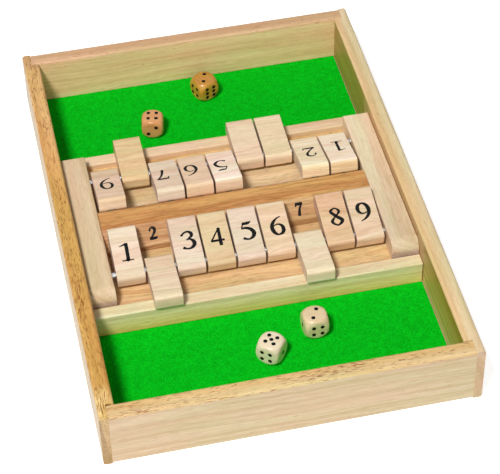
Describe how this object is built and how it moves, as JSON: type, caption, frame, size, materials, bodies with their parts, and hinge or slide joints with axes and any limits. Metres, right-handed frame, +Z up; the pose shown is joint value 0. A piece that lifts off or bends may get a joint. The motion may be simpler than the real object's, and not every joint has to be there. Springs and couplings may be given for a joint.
{
  "type": "shut the box game",
  "caption": "Open wooden tray for a dice game: two felt bays and, between them, two facing rows of numbered tiles that turn on steel rods to lie open or shut, with loose dice.",
  "frame": {"origin": "on the table under the middle of the tray", "axes": "+X to the right along the rows, +Y to the back along the tray's length, +Z up"},
  "size_m": [0.235, 0.34, 0.042],
  "materials": {
    "wall_wood": "warm rubberwood with dark pores, satin clear coat",
    "pale_wood": "pale rubberwood with short dark pores, satin clear coat",
    "brown_wood": "orange-brown rubberwood, satin clear coat",
    "tile_wood": "pale sanded wood, light clear coat",
    "board": "thin plain board",
    "felt": "vivid green felt",
    "steel": "bright drawn rod",
    "pale_die": "pale tumbled wood, clear coat",
    "tinted_die": "amber tumbled wood, clear coat",
    "ink": "black printed ink and pip paint"
  },
  "bodies": {
    "tray": {"wall_left": "wall_wood", "wall_right": "pale_wood", "wall_front": "pale_wood", "wall_back": "pale_wood", "base_board": "board", "felt_front": "felt", "felt_back": "felt", "deck": "brown_wood", "strip_front": "pale_wood", "strip_back": "pale_wood", "rail_left": "pale_wood", "rail_right": "pale_wood", "number_beam": "brown_wood", "rod_front": "steel", "rod_back": "steel"},
    "tile_front_1": {"tile_front_1": "tile_wood"},
    "tile_front_2": {"tile_front_2": "tile_wood"},
    "tile_front_3": {"tile_front_3": "tile_wood"},
    "tile_front_4": {"tile_front_4": "tile_wood"},
    "tile_front_5": {"tile_front_5": "tile_wood"},
    "tile_front_6": {"tile_front_6": "tile_wood"},
    "tile_front_7": {"tile_front_7": "tile_wood"},
    "tile_front_8": {"tile_front_8": "tile_wood"},
    "tile_front_9": {"tile_front_9": "tile_wood"},
    "tile_back_1": {"tile_back_1": "tile_wood"},
    "tile_back_2": {"tile_back_2": "tile_wood"},
    "tile_back_3": {"tile_back_3": "tile_wood"},
    "tile_back_4": {"tile_back_4": "tile_wood"},
    "tile_back_5": {"tile_back_5": "tile_wood"},
    "tile_back_6": {"tile_back_6": "tile_wood"},
    "tile_back_7": {"tile_back_7": "tile_wood"},
    "tile_back_8": {"tile_back_8": "tile_wood"},
    "tile_back_9": {"tile_back_9": "tile_wood"},
    "die_front_left": {"die_front_left": "pale_die"},
    "die_front_right": {"die_front_right": "pale_die"},
    "die_back_left": {"die_back_left": "tinted_die"},
    "die_back_right": {"die_back_right": "tinted_die"}
  },
  "joints": [
    {"name": "tile_front_1_hinge", "type": "hinge", "parent": "tray", "child": "tile_front_1", "pos_m": [-0.078, -0.044, 0.0288], "axis": [1, 0, 0], "range_deg": [0, 163.79]},
    {"name": "tile_front_2_hinge", "type": "hinge", "parent": "tray", "child": "tile_front_2", "pos_m": [-0.0585, -0.044, 0.0288], "axis": [-1, 0, 0], "range_deg": [0, 163.79]},
    {"name": "tile_front_3_hinge", "type": "hinge", "parent": "tray", "child": "tile_front_3", "pos_m": [-0.039, -0.044, 0.0288], "axis": [1, 0, 0], "range_deg": [0, 163.79]},
    {"name": "tile_front_4_hinge", "type": "hinge", "parent": "tray", "child": "tile_front_4", "pos_m": [-0.0195, -0.044, 0.0288], "axis": [1, 0, 0], "range_deg": [0, 163.79]},
    {"name": "tile_front_5_hinge", "type": "hinge", "parent": "tray", "child": "tile_front_5", "pos_m": [0, -0.044, 0.0288], "axis": [1, 0, 0], "range_deg": [0, 163.79]},
    {"name": "tile_front_6_hinge", "type": "hinge", "parent": "tray", "child": "tile_front_6", "pos_m": [0.0195, -0.044, 0.0288], "axis": [1, 0, 0], "range_deg": [0, 163.79]},
    {"name": "tile_front_7_hinge", "type": "hinge", "parent": "tray", "child": "tile_front_7", "pos_m": [0.039, -0.044, 0.0288], "axis": [-1, 0, 0], "range_deg": [0, 163.79]},
    {"name": "tile_front_8_hinge", "type": "hinge", "parent": "tray", "child": "tile_front_8", "pos_m": [0.0585, -0.044, 0.0288], "axis": [1, 0, 0], "range_deg": [0, 163.79]},
    {"name": "tile_front_9_hinge", "type": "hinge", "parent": "tray", "child": "tile_front_9", "pos_m": [0.078, -0.044, 0.0288], "axis": [1, 0, 0], "range_deg": [0, 163.79]},
    {"name": "tile_back_1_hinge", "type": "hinge", "parent": "tray", "child": "tile_back_1", "pos_m": [0.0767, 0.044, 0.0288], "axis": [-1, 0, 0], "range_deg": [0, 163.79]},
    {"name": "tile_back_2_hinge", "type": "hinge", "parent": "tray", "child": "tile_back_2", "pos_m": [0.0572, 0.044, 0.0288], "axis": [-1, 0, 0], "range_deg": [0, 163.79]},
    {"name": "tile_back_3_hinge", "type": "hinge", "parent": "tray", "child": "tile_back_3", "pos_m": [0.0377, 0.044, 0.0288], "axis": [1, 0, 0], "range_deg": [0, 163.79]},
    {"name": "tile_back_4_hinge", "type": "hinge", "parent": "tray", "child": "tile_back_4", "pos_m": [0.0182, 0.044, 0.0288], "axis": [1, 0, 0], "range_deg": [0, 163.79]},
    {"name": "tile_back_5_hinge", "type": "hinge", "parent": "tray", "child": "tile_back_5", "pos_m": [-0.0013, 0.044, 0.0288], "axis": [-1, 0, 0], "range_deg": [0, 163.79]},
    {"name": "tile_back_6_hinge", "type": "hinge", "parent": "tray", "child": "tile_back_6", "pos_m": [-0.0208, 0.044, 0.0288], "axis": [-1, 0, 0], "range_deg": [0, 163.79]},
    {"name": "tile_back_7_hinge", "type": "hinge", "parent": "tray", "child": "tile_back_7", "pos_m": [-0.0403, 0.044, 0.0288], "axis": [-1, 0, 0], "range_deg": [0, 163.79]},
    {"name": "tile_back_8_hinge", "type": "hinge", "parent": "tray", "child": "tile_back_8", "pos_m": [-0.0598, 0.044, 0.0288], "axis": [1, 0, 0], "range_deg": [0, 163.79]},
    {"name": "tile_back_9_hinge", "type": "hinge", "parent": "tray", "child": "tile_back_9", "pos_m": [-0.0793, 0.044, 0.0288], "axis": [-1, 0, 0], "range_deg": [0, 163.79]},
    {"name": "die_front_left_lift", "type": "slide", "parent": "tray", "child": "die_front_left", "axis": [0, 0, 1], "range_m": [0, 0.06]},
    {"name": "die_front_right_lift", "type": "slide", "parent": "tray", "child": "die_front_right", "axis": [0, 0, 1], "range_m": [0, 0.06]},
    {"name": "die_back_left_lift", "type": "slide", "parent": "tray", "child": "die_back_left", "axis": [0, 0, 1], "range_m": [0, 0.06]},
    {"name": "die_back_right_lift", "type": "slide", "parent": "tray", "child": "die_back_right", "axis": [0, 0, 1], "range_m": [0, 0.06]}
  ]
}
